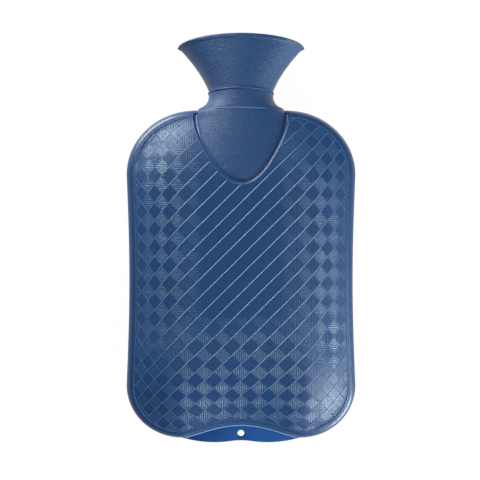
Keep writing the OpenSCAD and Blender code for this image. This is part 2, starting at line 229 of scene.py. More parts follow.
@contextmanager
def editing(mesh):
    bm = bmesh.new()
    bm.from_mesh(mesh)
    yield bm
    bm.to_mesh(mesh)
    bm.free()


def pointOut(piece):
    # Doubles are merged first, and then the faces are turned outwards
    with editing(piece.data) as bm:
        bmesh.ops.remove_doubles(bm, verts=bm.verts, dist=1e-7)
        bmesh.ops.recalc_face_normals(bm, faces=bm.faces)
    return piece


def bake(piece):
    # The modifiers' result becomes the piece's own plain mesh
    graph = bpy.context.evaluated_depsgraph_get()
    mesh = bpy.data.meshes.new_from_object(piece.evaluated_get(graph))
    old = piece.data
    piece.modifiers.clear()
    piece.data = mesh
    mesh.name = piece.name
    bpy.data.meshes.remove(old)


def combine(piece, tools, operation):
    for tool in tools:
        cut = piece.modifiers.new(operation.lower(), "BOOLEAN")
        cut.operation = operation
        cut.solver = "MANIFOLD"
        cut.object = tool
        bake(piece)
        bpy.data.objects.remove(tool)
    return piece


def useMaterial(pieces, material):
    for piece in pieces:
        mesh = piece.data
        mesh.materials.clear()
        mesh.materials.append(material)
        mesh.polygons.foreach_set("material_index", [0] * len(mesh.polygons))


def readVectors(items, key):
    values = np.zeros(len(items) * 3, np.float32)
    items.foreach_get(key, values)
    return values.reshape(-1, 3)


def mark(mesh, label, values, domain="POINT"):
    layer = mesh.attributes.new(label, "FLOAT", domain)
    layer.data.foreach_set("value", np.asarray(values, np.float32))


def readMark(mesh, label):
    values = np.zeros(len(mesh.vertices), np.float32)
    mesh.attributes[label].data.foreach_get("value", values)
    return values.astype(float)


def smooth(piece, angle):
    mesh = piece.data
    mesh.polygons.foreach_set("use_smooth", [True] * len(mesh.polygons))
    mesh.set_sharp_from_angle(angle=math.radians(angle))


# Outline and height of the bag

def arcPart(t):
    return np.sqrt(np.maximum(0.0, 1 - t * t))


def rise(t):
    return 1 - (1 - np.clip(t, 0, 1)) ** bag["slopePower"]


def halfWidth(y, d):
    up = (y - shoulderCy) / (bag["shoulderY"] - d)
    down = (footCy - y) / (bag["footY"] - d)
    side = bag["width"] / 2 - d - bag["waistIn"] * np.sin(
        np.pi * np.clip((y - footCy) / (shoulderCy - footCy), 0, 1))
    top = shoulderCx + (bag["shoulderX"] - d) * arcPart(up)
    foot = footCx + (bag["footX"] - d) * arcPart(down)
    return np.where(y > shoulderCy, top, np.where(y < footCy, foot, side))


def topEdge(x, d):
    corner = shoulderCy + (bag["shoulderY"] - d) * arcPart(
        (np.abs(x) - shoulderCx) / (bag["shoulderX"] - d))
    return np.where(np.abs(x) < shoulderCx, shoulderY - d, corner)


def notch(x):
    wave = (1 + np.cos(np.pi * np.minimum(np.abs(x) / footCx, 1))) / 2
    return bag["notchDepth"] * wave ** bag["notchFullness"]


def footEdge(x, d):
    corner = footCy - (bag["footY"] - d) * arcPart(
        (np.abs(x) - footCx) / (bag["footX"] - d))
    return np.where(np.abs(x) < footCx, footY + d + notch(x), corner)


def padHeight(x, y):
    d = bag["rollWidth"]
    side = rise((halfWidth(y, d) - np.abs(x)) / bag["slopeWidth"])
    top = rise((topEdge(x, d) - y) / bag["slopeLength"])
    foot = rise((y - footEdge(x, d)) / bag["slopeLength"])
    return bag["edgeHeight"] + (padTop - bag["edgeHeight"]) * side * top * foot


def outline(d, steps):
    # Right half from the foot's middle to the shoulder's middle, then mirrored
    foot = np.linspace(0, footCx, steps + 1)[:-1]
    side = np.linspace(footCy, shoulderCy, steps + 1)[1:-1]
    top = np.linspace(shoulderCx, 0, steps // 2 + 1)[1:]
    a = np.radians(np.linspace(-90, 0, steps + 1))
    b = np.radians(np.linspace(0, 90, steps + 1))
    x = [foot, footCx + (bag["footX"] - d) * np.cos(a), halfWidth(side, d),
         shoulderCx + (bag["shoulderX"] - d) * np.cos(b), top]
    y = [footEdge(foot, d), footCy + (bag["footY"] - d) * np.sin(a), side,
         shoulderCy + (bag["shoulderY"] - d) * np.sin(b), np.full_like(top, shoulderY - d)]
    right = np.stack([np.concatenate(x), np.concatenate(y)], 1)
    left = right[1:-1][::-1] * [-1, 1]
    return np.concatenate([right, left])


# Bag

def cushion(name, inset, drop, steps, turns, slopes):
    # Rings go from the middle down the slope and over the rolled edge, and below they go back
    border = outline(bag["rollWidth"] + inset, steps)
    edge = padHeight(border[:, 0], border[:, 1]) - drop
    front = []
    for s in slopes:
        kx = 1 - s * bag["slopeWidth"] / (bag["width"] / 2 - bag["rollWidth"])
        ky = 1 - s * bag["slopeLength"] / ((shoulderY - footY) / 2 - bag["rollWidth"])
        x = border[:, 0] * kx
        y = bagMidY + (border[:, 1] - bagMidY) * ky
        front.append(np.stack([x, y, padHeight(x, y) - drop], 1))
    for a in turns:
        ring = outline(inset + bag["rollWidth"] * (1 - math.cos(a)), steps)
        front.append(np.column_stack([ring, edge * math.sin(a)]))
    back = [ring * [1, 1, -1] for ring in front[::-1]]
    middle = np.column_stack([outline(inset, steps), np.zeros(len(border))])
    top = float(padHeight(0.0, bagMidY)) - drop
    return loft(name, front + [middle] + back, (0, bagMidY, top), (0, bagMidY, -top))


def slopeShares(count):
    # Closer together near the border, where the slope is steep
    return 1 - np.linspace(0, 1, count + 1)[:-1] ** 1.2


def makeBagOutside():
    turns = np.radians(np.linspace(90, 0, 13)[:-1])
    return cushion("bagOutside", 0, pad["step"], bag["outsideSteps"], turns, slopeShares(16))


def makeBagInside():
    drop = pad["step"] + bag["wall"] * bag["drop"]
    turns, slopes = np.radians([90, 68, 45, 22]), [1, 0.7, 0.4, 0.2, 0.08]
    return cushion("bagInside", bag["wall"], drop, bag["insideSteps"], turns, slopes)


# Collar, neck and funnel

def oval(y, a, b, crown=0.0, point=1.0):
    t = fullTurn(neck["sides"])
    up = np.abs(np.sin(t)) ** point
    return np.stack([a * np.cos(t), y + crown * up, b * np.sign(np.sin(t)) * up], 1)


def skinHeight(x, y):
    # Height of the bag below the shoulder, over the rolled edge and then the slope
    inside = shoulderY - y
    turned = arcPart(1 - np.clip(inside / bag["rollWidth"], 0, 1))
    roll = (bag["edgeHeight"] - pad["step"]) * turned
    return np.where(inside < bag["rollWidth"], roll, padHeight(x, y) - pad["step"])


def collarX(y):
    t = (y - collarTipY) / neck["collarLength"]
    less = neck["collarNarrow"] * min(1, 3 * t)
    less += neck["collarSteep"] * max(0, t - neck["collarSteepFrom"]) ** 2
    return neck["collarWidth"] / 2 * math.sqrt(t) - less


def collarB(y):
    t = (y - collarTipY) / neck["collarLength"]
    tip = padTop - pad["step"]
    down = tip + neck["collarRise"] - neck["thick"] / 2
    return tip + neck["collarRise"] * float(rise(8 * t)) - down * t


def creaseInside(x):
    return np.clip((neck["creaseReach"] - np.abs(x)) / neck["creaseFade"], 0, 1)


def collarRing(y):
    x, b = collarX(y), collarB(y)
    h = min(b - neck["least"], float(skinHeight(x, y)))
    ring = oval(y, x / math.sqrt(1 - (h / b) ** 2), b)
    # A fine crease crosses the front and back just below the neck
    bump = max(0.0, 1 - ((y - shoulderY + neck["creaseDown"]) / neck["creaseHalf"]) ** 2) ** 2
    inside = creaseInside(ring[:, 0])
    ring[:, 2] += np.sign(ring[:, 2]) * neck["creaseHeight"] * bump * inside
    return ring


def filletRing(t):
    y = shoulderY + neck["filletLength"] * (1 - math.cos(t))
    return oval(y, neck["width"] / 2 + neck["filletWidth"] * (1 - math.sin(t)), neck["thick"] / 2)


def beadRing(t):
    grow = neck["beadHeight"] * math.sin(t)
    y = seatY - neck["beadDown"] - neck["beadHeight"] * math.cos(t)
    return oval(y, neck["width"] / 2 + grow, neck["thick"] / 2 + grow)


def funnelRing(t, inset, down=0.0):
    reach = neck["funnelLength"] - neck["crown"]
    spread = (neck["rimWidth"] - neck["width"]) / 2 - neck["flare"] * reach
    a = neck["width"] / 2 + neck["flare"] * reach * t + spread * t * t - inset
    b = neck["thick"] / 2 + (neck["rimThick"] - neck["thick"]) / 2 * t - inset
    return oval(seatY + reach * t - down, a, b, neck["crown"] * t * t, 1 + neck["rimPoint"] * t)


def makeNeckOutside():
    lip = neck["lip"]
    crease = shoulderY - neck["creaseDown"]
    places = [collarTipY + neck["collarLength"] * t for t in np.linspace(0.06, 0.995, 60) ** 1.6]
    places = [y for y in places if abs(y - crease) > neck["creaseRoom"]]
    places += [crease + step for step in np.linspace(-0.001, 0.001, 11)]
    rings = [collarRing(y) for y in sorted(places)]
    rings += [filletRing(t) for t in np.radians(np.linspace(neck["filletFrom"], 90, 16))]
    rings += [beadRing(t) for t in np.radians(np.linspace(0, 180, 13))]
    rings += [funnelRing(t, 0) for t in np.linspace(0, 0.9, 30)]
    lipShare = neck["lipBand"] / (neck["funnelLength"] - neck["crown"])
    for step in np.linspace(0, 1, 5):
        grow = neck["lipBandHeight"] * math.sin(step * math.pi / 2)
        rings.append(funnelRing(1 - lipShare + neck["lipBandEdge"] * step, -grow))
    for a in np.radians(np.linspace(0, 90, 8)):
        inset = lip * (1 - math.cos(a)) - neck["lipBandHeight"]
        rings.append(funnelRing(1, inset, lip * (1 - math.sin(a))))
    return loft("neckOutside", rings)


def makeFunnelInside():
    lip = neck["lip"]
    rings = [funnelRing(t, neck["wall"]) for t in np.linspace(0, 0.93, 30)]
    for a in np.radians(np.linspace(0, 90, 8)):
        inset = neck["wall"] - lip * (1 - math.cos(a))
        rings.append(funnelRing(1, inset, lip * (1 - math.sin(a))))
    rings.append(funnelRing(1, neck["wall"] - lip, -neck["overrun"]))
    return loft("funnelInside", rings)


def makeNeckInside():
    drop = bag["wall"] * bag["drop"]
    rings = []
    for t in np.linspace(0.14, 1, 9):
        y = collarTipY + neck["collarLength"] * t
        x, b = collarX(y), collarB(y) - drop
        h = min(b - 0.0005, max(0.0, float(skinHeight(x, y)) - drop))
        rings.append(oval(y, (x - bag["wall"]) / math.sqrt(1 - (h / b) ** 2), b))
    return loft("neckInside", rings)


def lathe(name, profile, y, sides=96):
    # Turned about the bottle's long axis: profile is (radius, distance along +Y from y)
    t = fullTurn(sides)
    x, z = np.cos(t), np.sin(t)
    rings = [np.stack([r * x, np.full(sides, y + h), r * z], 1) for r, h in profile]
    return loft(name, rings, (0, y + profile[0][1], 0), (0, y + profile[-1][1], 0))


# Radii round the insert: the body's core, the pocket for its flanges and the throat below it
pocket = {"core": 0.023, "flange": 0.020, "throat": 0.0136, "throatLength": 0.004, "over": 0.001}
throatLowY = insertLow.y - pocket["throatLength"]


def makeNeckCore():
    core = [(pocket["core"], 0), (pocket["core"], seatY - throatLowY)]
    return lathe("neckCore", core, throatLowY, 48)


def makeThroat():
    bottom, top = insertLow.y - throatLowY, seatY - throatLowY + pocket["over"]
    return lathe("throat", [
        (pocket["throat"], -neck["overrun"]), (pocket["throat"], bottom),
        (pocket["flange"], bottom), (pocket["flange"], top)], throatLowY)


# Hanging tab

tab = {
    "thick": 0.0035,
    "halfWidth": 0.057,
    "upTo": 0.024,
    "lobeRadius": 0.097,
    "lobeGap": 0.045,
    "hollowRadius": 0.060,
    "edge": 0.0012,
    "holeRadius": 0.0028,
    "holeUp": 0.0077,
    "holeEdge": 0.0008,
    "seamRadius": 0.0011,
    "seamOut": 0.0002,
    "seamLeast": 1.2,  # the seam stops where the tab is narrower than this many radii
    "seamReach": 1.05,
}


def tabLine(inset):
    # The lower edge dips into two shallow lobes, with a soft hollow between them
    x = np.linspace(-tab["halfWidth"], tab["halfWidth"], 141)
    r, k, half = tab["lobeRadius"], tab["hollowRadius"], tab["lobeGap"] / 2
    lobes = r - np.sqrt(r * r - (np.abs(x) - half) ** 2)
    arc = np.sqrt(k * k - np.minimum(np.abs(x), k) ** 2)
    hollow = r - math.sqrt((r + k) ** 2 - half ** 2) + arc
    line = np.where(np.abs(x) < half * k / (r + k), hollow, lobes)
    return np.stack([x, bodyLow.y + line + inset], 1)


def roundedEdge(e):
    # From the tab's face round its edge: distances in from the wall, and heights
    turns = np.radians(np.linspace(90, 0, 6))
    return [(e * (1 - math.cos(a)), tab["thick"] / 2 - e + e * math.sin(a)) for a in turns]


def makeTab():
    rings = []
    levels = roundedEdge(tab["edge"])
    levels += [(d, -z) for d, z in levels[::-1]]
    for d, z in levels:
        lower = tabLine(d)
        upper = lower[::-1].copy()
        upper[:, 1] = bodyLow.y + tab["upTo"]
        ring = np.concatenate([lower, upper])
        rings.append(np.column_stack([ring, np.full(len(ring), z)]))
    low, high = rings[0].mean(0), rings[-1].mean(0)
    return loft("tab", rings, low, high)


def makeHoleCutter():
    side = [(tab["holeRadius"] + d, z) for d, z in roundedEdge(tab["holeEdge"])[::-1]]
    side.append((side[-1][0], side[-1][1] + 0.002))  # past the tab's face
    profile = [(rad, -z) for rad, z in side[::-1]] + side
    t = fullTurn(64)
    x, up = np.cos(t), np.sin(t)
    y = bodyLow.y + tab["holeUp"]
    rings = [np.stack([rad * x, y + rad * up, np.full(64, z)], 1) for rad, z in profile]
    return loft("holeCutter", rings, (0, y, profile[0][1]), (0, y, profile[-1][1]))


def makeShell():
    shell = makeBagOutside()
    shell.name = "bottleShell"
    combine(shell, [makeNeckOutside(), makeTab()], "UNION")
    inside = combine(makeBagInside(), [makeNeckInside()], "UNION")
    combine(inside, [makeNeckCore()], "DIFFERENCE")
    combine(shell, [inside, makeFunnelInside(), makeThroat(), makeHoleCutter()], "DIFFERENCE")
    return shell


shell = makeShell()
print("stage 2: shell,", len(shell.data.polygons), "faces")


# Quilted pads: one diamond of the lattice, in lattice units u and v from 0 to 1

def grooveAt(k):
    return math.cos(math.pi * pad["groovesPerTile"] * k / pad["samples"])


class Cell:
    # Collects the points and faces of one diamond with half of each rib around it
    def __init__(self):
        self.points, self.marks, self.faces, self.known = [], [], [], {}

    def add(self, u, v, ribA=0.0, ribB=0.0, groove=0.0):
        key = (round(u, 6), round(v, 6))
        if key not in self.known:
            self.known[key] = len(self.points)
            self.points.append((u, v, 0.0))
            self.marks.append((ribA, ribB, groove))
        return self.known[key]

    def face(self, *ids):
        ids = list(dict.fromkeys(ids))
        if len(ids) > 2:
            self.faces.append(ids)


def ribShare():
    # Half a rib's width as a share of the distance between ribs
    wide, long = pad["diamondWidth"], pad["diamondLength"]
    return pad["ribHalf"] / (wide * long / math.hypot(wide, long))


def fillTile(cell, upright):
    # Grooves run up the tile where upright, or across it, and fade out at the tile's edges
    n, s = pad["samples"], ribShare()
    whole = (1 - 2 * s) * pad["diamondWidth"]

    def inTile(p, q):
        return s + (1 - 2 * s) * p, s + (1 - 2 * s) * q

    def line(k):
        # Line k counts from one corner to the middle at n and on to the other corner at 2n
        t = k / n
        if upright:
            start, end = ((1 - t, 0), (1, t)) if k <= n else ((0, t - 1), (2 - t, 1))
        else:
            start, end = ((0, t), (t, 0)) if k <= n else ((t - 1, 1), (1, t - 1))
        length = max(1e-6, whole * (1 - abs(1 - t)))
        share = min(0.4, pad["fade"] / length)
        third = (1 - 2 * share) / 3
        depth = grooveAt(k) * min(1, length / (3 * pad["fade"]))
        ids = []
        for f in (0, share, share + third, 1 - share - third, 1 - share, 1):
            p = start[0] + (end[0] - start[0]) * f
            q = start[1] + (end[1] - start[1]) * f
            ids.append(cell.add(*inTile(p, q), 0, 0, depth if 0 < f < 1 else 0))
        return ids

    lines = [line(k) for k in range(2 * n + 1)]
    for a, b in zip(lines, lines[1:]):
        for i in range(len(a) - 1):
            cell.face(a[i], a[i + 1], b[i + 1], b[i])


def fillRibs(cell):
    # The crest has few points and the foot of a rib has all those of the tile's grooves.
    # The steps give the place from crest to foot, and the height there, as shares.
    n, s, skip = pad["samples"], ribShare(), pad["ribSkip"]
    along = [s + (1 - 2 * s) * k / n for k in range(n + 1)]
    longSteps = [(0, 1.0), (0.2, 0.95), (0.5, 0.66), (1, 0.0)]
    crossSteps = [(0, 1.0), (0.45, 0.72), (1, 0.0)]

    def place(side, share):
        return s * share if side == 0 else 1 - s * share

    def flank(steps, side, k, point):
        for (f0, w0), (f1, w1) in zip(steps, steps[1:]):
            lower = range(k + skip, k - 1, -1 if f1 == 1 else -skip)
            ids = [point(place(side, f0), along[m], w0) for m in (k, k + skip)]
            cell.face(*ids, *[point(place(side, f1), along[m], w1) for m in lower])

    def crossing(su, sv, longPart, crossPart):
        (f0, a0), (f1, a1) = longPart
        (g0, b0), (g1, b1) = crossPart
        corners = ((f0, a0, g0, b0), (f1, a1, g0, b0), (f1, a1, g1, b1), (f0, a0, g1, b1))
        cell.face(*[cell.add(place(su, f), place(sv, g), a, b) for f, a, g, b in corners])

    for side in (0, 1):
        for k in range(0, n, skip):
            flank(longSteps, side, k, lambda across, run, w: cell.add(across, run, w))
            flank(crossSteps, side, k, lambda across, run, w: cell.add(run, across, 0, w))
    longParts, crossParts = zip(longSteps, longSteps[1:]), zip(crossSteps, crossSteps[1:])
    for corner in product((0, 1), (0, 1), longParts, crossParts):
        crossing(*corner)


cellMarks = ("ribA", "ribB", "groove", "weave")


def makeCell(name, upright):
    cell = Cell()
    fillTile(cell, upright)
    fillRibs(cell)
    piece = makePiece(name, cell.points, cell.faces)
    # A tile's points are marked 1 or -1 by the way its grooves run, and the ribs' points 0
    sign = -1.0 if upright else 1.0
    marks = [(a, b, g, sign if a == b == 0 else 0.0) for a, b, g in cell.marks]
    for label, values in zip(cellMarks, zip(*marks)):
        mark(piece.data, label, values)
    return pointOut(piece)


# Node helpers

def fill(tree, node, sockets):
    # Gives each of these sockets its value, or its link
    for key, value in sockets.items():
        value = getattr(value, "socket", value)
        if isinstance(value, bpy.types.NodeSocket):
            tree.links.new(value, node.inputs[key])
        else:
            node.inputs[key].default_value = value


def newTree(name, inputs):
    tree = bpy.data.node_groups.new(name, "GeometryNodeTree")
    tree.interface.new_socket("Geometry", in_out="INPUT", socket_type="NodeSocketGeometry")
    for label, kind in inputs:
        tree.interface.new_socket(label, in_out="INPUT", socket_type="NodeSocket" + kind)
    tree.interface.new_socket("Geometry", in_out="OUTPUT", socket_type="NodeSocketGeometry")
    start = tree.nodes.new("NodeGroupInput")
    end = tree.nodes.new("NodeGroupOutput")
    return tree, start, end


def treeNode(tree, kind, sockets=None, **settings):
    node = tree.nodes.new(kind)
    for key, value in settings.items():
        setattr(node, key, value)
    fill(tree, node, sockets or {})
    return node


def treeMath(tree, operation, *values):
    node = treeNode(tree, "ShaderNodeMath", dict(enumerate(values)), operation=operation)
    return node.outputs[0]


def finishTree(tree, geometry, end, material):
    real = treeNode(tree, "GeometryNodeRealizeInstances", {"Geometry": geometry})
    dressed = treeNode(tree, "GeometryNodeSetMaterial", {
        "Geometry": real.outputs[0], "Material": material})
    tree.links.new(dressed.outputs[0], end.inputs[0])


def runTree(piece, tree, values):
    # Inputs are set by their identifiers before the piece is first evaluated
    mod = piece.modifiers.new(tree.name, "NODES")
    mod.node_group = tree
    for item in tree.interface.items_tree:
        if item.item_type == "SOCKET" and item.in_out == "INPUT" and item.name in values:
            mod[item.identifier] = values[item.name]
    piece.update_tag()
    bake(piece)


def quiltTree(upright, across, material):
    # Lays the two kinds of diamond out like a chessboard, over a grid of lattice cells
    inputs = [("Cells U", "Int"), ("Cells V", "Int"), ("Weld", "Float")]
    tree, start, end = newTree("quilt", inputs)
    cellsU, cellsV = start.outputs["Cells U"], start.outputs["Cells V"]
    grid = treeNode(tree, "GeometryNodeMeshGrid", {
        "Vertices X": cellsU, "Vertices Y": cellsV,
        "Size X": treeMath(tree, "SUBTRACT", cellsU, 1.0),
        "Size Y": treeMath(tree, "SUBTRACT", cellsV, 1.0)})
    both = tree.nodes.new("GeometryNodeJoinGeometry")
    for source in (across, upright):
        info = treeNode(tree, "GeometryNodeObjectInfo", {"Object": source})
        kind = treeNode(tree, "GeometryNodeGeometryToInstance", {
            "Geometry": info.outputs["Geometry"]})
        tree.links.new(kind.outputs[0], both.inputs[0])
    index = treeNode(tree, "GeometryNodeInputIndex").outputs[0]
    column = treeMath(tree, "FLOOR", treeMath(tree, "DIVIDE", index, cellsV))
    row = treeMath(tree, "MODULO", index, cellsV)
    odd = treeMath(tree, "MODULO", treeMath(tree, "ADD", column, row), 2.0)
    tiles = treeNode(tree, "GeometryNodeInstanceOnPoints", {
        "Points": grid.outputs["Mesh"], "Instance": both.outputs[0],
        "Pick Instance": True, "Instance Index": odd})
    real = treeNode(tree, "GeometryNodeRealizeInstances", {"Geometry": tiles.outputs[0]})
    welded = treeNode(tree, "GeometryNodeMergeByDistance", {
        "Geometry": real.outputs[0], "Distance": start.outputs["Weld"]})
    finishTree(tree, welded.outputs[0], end, material)
    return tree


lattice = {"low": -18, "high": 16}


def latticeXY(u, v):
    s = (v - u) * pad["diamondWidth"] / 2
    over = np.maximum(np.abs(s) - pad["sideFree"], 0)
    x = s - np.sign(s) * over ** 2 / (pad["sideSqueeze"] + over)
    y = pad["latticeUp"] + (u + v) * pad["diamondLength"] / 2
    top = np.maximum(y - pad["topFree"], 0)
    foot = np.minimum(y - pad["footFree"], 0)
    return x, y - top ** 2 / pad["endSqueeze"] + foot ** 2 / pad["endSqueeze"]


# The second ribs stand beyond these numbers of half diamonds from the middle
crossed = {"side": 8.2, "foot": 16.4, "top": 8.5, "topSide": 5.5}


def crossedShare(u, v):
    # Where the ribs that lean the other way stand up: at the sides, the foot and the top corners
    wide, up = np.abs(v - u), u + v
    return np.maximum.reduce([
        np.clip(wide - crossed["side"], 0, 1),
        np.clip(-up - crossed["foot"], 0, 1),
        np.minimum(np.clip(up - crossed["top"], 0, 1), np.clip(wide - crossed["topSide"], 0, 1)),
    ])


# Bands of the pad, from where each starts to where it is full, and what some of them take off
band = {
    "grooveSide": (0.030, 0.040),
    "grooveRim": (0.062, 0.082),
    "grooveFoot": (0.055, 0.070),
    "grooveCornerSide": (0.045, 0.065),
    "grooveCornerFoot": (0.085, 0.105),
    "top": (0.070, 0.090),
    # The next bands place the sheen painted on the grooved tiles
    "sheenSide": (0.028, 0.046),
    "sheenRim": (0.078, 0.086),
    "sheenSideEnd": (0.075, 0.095),
    "sheenFoot": (0.058, 0.078),
    "sheenFootRim": (0.050, 0.070),
    "lessGrooveRim": 0.6,
    "lessGrooveEnds": 0.7,
    "lessSheenRim": 0.5,
    "lessSheenTop": 0.4,
}


def inBand(value, name):
    start, end = band[name]
    return np.clip((value - start) / (end - start), 0, 1)


def grooveShare(x, y):
    # The grooves are deep in the bands at the sides and the foot, shallow elsewhere
    wide = np.abs(x)
    side = inBand(wide, "grooveSide") * (1 - band["lessGrooveRim"] * inBand(wide, "grooveRim"))
    foot = inBand(-y, "grooveFoot")
    footCorner = inBand(wide, "grooveCornerSide") * inBand(-y, "grooveCornerFoot")
    less = band["lessGrooveEnds"]
    ends = (1 - less * inBand(y, "top")) * (1 - less * footCorner)
    return pad["groovePlain"] + (1 - pad["groovePlain"]) * np.maximum(side, foot) * ends


def tileSheenShare(x, y, weave):
    # Painted sheen: tiles grooved across are painted paler in the side bands, and those grooved
    # lengthwise at the foot, where their grooves would catch the light
    wide, less = np.abs(x), band["lessSheenRim"]
    side = inBand(wide, "sheenSide") * (1 - less * inBand(wide, "sheenRim"))
    side = side * (1 - inBand(-y, "sheenSideEnd"))
    foot = inBand(-y, "sheenFoot") * (1 - less * inBand(wide, "sheenFootRim"))
    share = np.maximum(weave, 0) * side + np.maximum(-weave, 0) * foot
    return share * (1 - band["lessSheenTop"] * inBand(y, "top"))


def leftOf(run):
    # Unit steps to the left of the way a line runs
    run = run / np.linalg.norm(run, axis=1)[:, None]
    return np.stack([-run[:, 1], run[:, 0]], 1)


def collarEdge(groove):
    # The collar's outline, moved outwards by the groove, from its right end to its left end
    t = np.linspace(1.1, 0, 70) ** 2
    y = collarTipY + neck["collarLength"] * t
    right = np.stack([[collarX(v) for v in y], y], 1)
    line = np.concatenate([right, right[-2::-1] * [-1, 1]])
    return line + groove * leftOf(np.gradient(line, axis=0))


def padPolygon():
    # Collar edge in the middle of the top, the bag's border round the rest, corners rounded
    edge, inset = collarEdge(neck["groove"]), bag["rollWidth"] + pad["inFromRoll"]
    edge = edge[edge[:, 1] < topEdge(edge[:, 0], inset) - pad["borderGap"]]
    border = outline(inset, 60)
    border = np.roll(border, -(len(border) // 2), axis=0)
    keep = (np.abs(border[:, 0]) > edge[0, 0] + pad["borderGap"]) | (border[:, 1] < 0)
    return roundCorners(np.concatenate([edge, border[keep]]), pad["cornerRadius"])


def shiftRing(ring, inset):
    # Moves a closed line inwards by the inset
    after, before = np.roll(ring, -1, axis=0), np.roll(ring, 1, axis=0)
    area = np.sum(ring[:, 0] * after[:, 1] - after[:, 0] * ring[:, 1])
    return ring + np.sign(area) * inset * leftOf(after - before)


def beadTree(material):
    # A round bead along the line it is given
    tree, start, end = newTree("bead", [("Radius", "Float"), ("Sides", "Int")])
    path = treeNode(tree, "GeometryNodeMeshToCurve", {0: start.outputs["Geometry"]})
    section = treeNode(tree, "GeometryNodeCurvePrimitiveCircle", {
        "Resolution": start.outputs["Sides"], "Radius": start.outputs["Radius"]})
    swept = treeNode(tree, "GeometryNodeCurveToMesh", {
        "Curve": path.outputs[0], "Profile Curve": section.outputs[0], "Fill Caps": True})
    finishTree(tree, swept.outputs[0], end, material)
    return tree


def makeBead(name, points, closed, radius, sides=12):
    n = len(points)
    edges = [(i, (i + 1) % n) for i in range(n if closed else n - 1)]
    piece = makePiece(name, lift(points), [], edges)
    runTree(piece, beads, {"Radius": radius, "Sides": sides})
    return pointOut(piece)


def roundCorners(ring, radius):
    # Cuts each sharp corner back and puts an arc-like curve there
    n = len(ring)
    before = ring - np.roll(ring, 1, axis=0)
    after = np.roll(ring, -1, axis=0) - ring
    turn = np.abs(np.arctan2(
        before[:, 0] * after[:, 1] - before[:, 1] * after[:, 0], (before * after).sum(1)))
    sharp = np.where(turn > math.radians(pad["sharpTurn"]))[0]
    drop = np.zeros(n, bool)
    curves = {}
    for s in sharp:
        reach = [k for k in range(-12, 13) if np.linalg.norm(ring[(s + k) % n] - ring[s]) < radius]
        for k in reach:
            drop[(s + k) % n] = True
        start, end = ring[(s + reach[0] - 1) % n], ring[(s + reach[-1] + 1) % n]
        t = np.linspace(0, 1, 9)[:, None]
        curves[int(s)] = (1 - t) ** 2 * start + 2 * t * (1 - t) * ring[s] + t ** 2 * end
    out = []
    for i in range(n):
        if i in curves:  # the middle of a corner
            out.extend(curves[i][1:-1])
        elif not drop[i]:
            out.append(ring[i])
    return np.array(out)


def prism(name, ring, low, high):
    n = len(ring)
    verts = [(x, y, z) for z in (low, high) for x, y in ring]
    walls = [(i, (i + 1) % n, n + (i + 1) % n, n + i) for i in range(n)]
    return pointOut(makePiece(name, lift(verts), [range(n), range(n, 2 * n)] + walls))


def makePad(name, tree, edge):
    quilt = addObject(name, bpy.data.meshes.new(name))
    cells = lattice["high"] - lattice["low"]
    runTree(quilt, tree, {"Cells U": cells, "Cells V": cells, "Weld": pad["weld"]})
    mesh = quilt.data
    co = readVectors(mesh.vertices, "co").astype(float)
    middle = lattice["low"] + (cells - 1) / 2
    u, v = co[:, 0] + middle, co[:, 1] + middle
    ribA, ribB, groove, weave = (readMark(mesh, label) for label in cellMarks)
    rib = np.maximum(ribA, pad["crossCrest"] * ribB * crossedShare(u, v))
    x, y = latticeXY(u, v)
    z = padHeight(x, y) + pad["crest"] * rib + pad["grooveDepth"] * grooveShare(x, y) * groove
    mesh.vertices.foreach_set("co", np.stack([x, y, z + midZ], 1).astype(np.float32).ravel())
    for label in cellMarks:
        mesh.attributes.remove(mesh.attributes[label])
    # The ridge mark paints a highlight along the ribs' crests
    mark(mesh, "ridge", rib)
    # This mark paints a sheen on the tiles whose grooves catch the light
    mark(mesh, "pale", tileSheenShare(x, y, weave))
    closeBlock(quilt)
    combine(quilt, [prism(name + "Edge", edge, 0.0005, halfThick + pad["room"])], "INTERSECT")
    turns = np.radians([90, 60, 30])
    seat = cushion(name + "Seat", 0, pad["step"] + pad["sunk"], 20, turns, slopeShares(8))
    combine(quilt, [seat], "DIFFERENCE")
    line = shiftRing(edge, pad["beadIn"])
    height = padHeight(line[:, 0], line[:, 1]) - pad["beadDown"]
    border = makeBead(name + "Border", np.column_stack([line, height]), True, pad["beadRadius"])
    # A painted highlight runs along the pad's border bead
    mark(border.data, "ridge", np.full(len(border.data.vertices), pad["beadHighlightShare"]))
    combine(quilt, [border], "UNION")
    keepLargest(quilt)
    return quilt


def closeBlock(piece):
    # Walls go down from the open border to a flat underside, so that the field is a solid
    with editing(piece.data) as bm:
        border = [e for e in bm.edges if e.is_boundary]
        made = bmesh.ops.extrude_edge_only(bm, edges=border)["geom"]
        for part in made:
            if isinstance(part, bmesh.types.BMVert):
                part.co.z = midZ
        bmesh.ops.holes_fill(bm, edges=[e for e in bm.edges if e.is_boundary], sides=0)
        bmesh.ops.recalc_face_normals(bm, faces=bm.faces)


def turnOver(piece):
    # The back of the bottle repeats the front, turned half round about the long axis
    piece.data.transform(Matrix.Translation((0, 0, midZ)) @ Matrix.Rotation(math.pi, 4, "Y")
                         @ Matrix.Translation((0, 0, -midZ)))


# The channel is cut by a round bead, and up is its middle's height over the bag's skin
channel = {"radius": 0.0023, "up": 0.0014, "halfWidth": 0.00185, "endIn": 0.0022, "sides": 20}


def onBothFaces(name, line, height, radius, sides=12):
    return [makeBead(name + side, np.column_stack([line, sign * height]), False, radius, sides)
            for side, sign in (("Front", 1), ("Back", -1))]


def cutChannel(shell):
    # A rounded channel follows the collar's edge on the front and on the back
    line = collarEdge(neck["groove"] / 2)
    line = line[line[:, 1] < shoulderY - channel["endIn"]]
    height = skinHeight(line[:, 0], line[:, 1]) + channel["up"]
    tools = onBothFaces("channel", line, height, channel["radius"], channel["sides"])
    combine(shell, tools, "DIFFERENCE")


